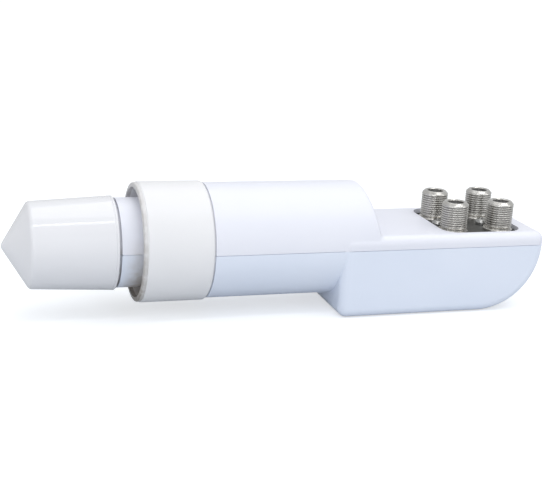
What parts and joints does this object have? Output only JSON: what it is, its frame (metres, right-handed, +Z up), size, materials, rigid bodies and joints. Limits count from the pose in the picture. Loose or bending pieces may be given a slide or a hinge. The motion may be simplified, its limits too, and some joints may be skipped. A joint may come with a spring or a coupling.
{
  "type": "low-noise block converter",
  "caption": "White low-noise block converter for a satellite dish, with a conical feed cap, a round clamp collar and threaded coaxial outputs on a rear deck.",
  "frame": {"origin": "middle of the clamp collar, on the feed axis", "axes": "+X along the feed axis from the nose cap to the rear box, +Z up out of the connector deck"},
  "size_m": [0.1852, 0.04, 0.0436],
  "materials": {
    "shell_plastic": "semi-gloss white",
    "cap_plastic": "semi-gloss white",
    "cast_metal": "as cast",
    "nickel_plate": "nickel plated",
    "contact_metal": "bright",
    "socket_plastic": "matte dark",
    "seal_rubber": "matte",
    "screw_steel": "zinc plated",
    "board": "coated",
    "chip": "matte",
    "crystal_metal": "bright",
    "lens_plastic": "natural"
  },
  "bodies": {
    "root": {"upper_shell": "shell_plastic", "lower_shell": "shell_plastic", "mount_collar": "shell_plastic", "nose_cap": "cap_plastic", "cast_body": "cast_metal", "shield_cover": "cast_metal", "deck_seal": "seal_rubber", "cover_gasket": "seal_rubber", "cap_seal_ring": "seal_rubber", "deck_screws": "screw_steel", "cover_screws": "screw_steel", "circuit_board": "board", "converter_chips": "chip", "crystal_can": "crystal_metal", "upright_probe": "contact_metal", "side_probe": "contact_metal", "feed_lens": "lens_plastic", "f_connector_1": "nickel_plate", "connector_insulator_1": "socket_plastic", "centre_contact_1": "contact_metal", "f_connector_2": "nickel_plate", "connector_insulator_2": "socket_plastic", "centre_contact_2": "contact_metal", "f_connector_3": "nickel_plate", "connector_insulator_3": "socket_plastic", "centre_contact_3": "contact_metal", "f_connector_4": "nickel_plate", "connector_insulator_4": "socket_plastic", "centre_contact_4": "contact_metal"}
  },
  "joints": []
}
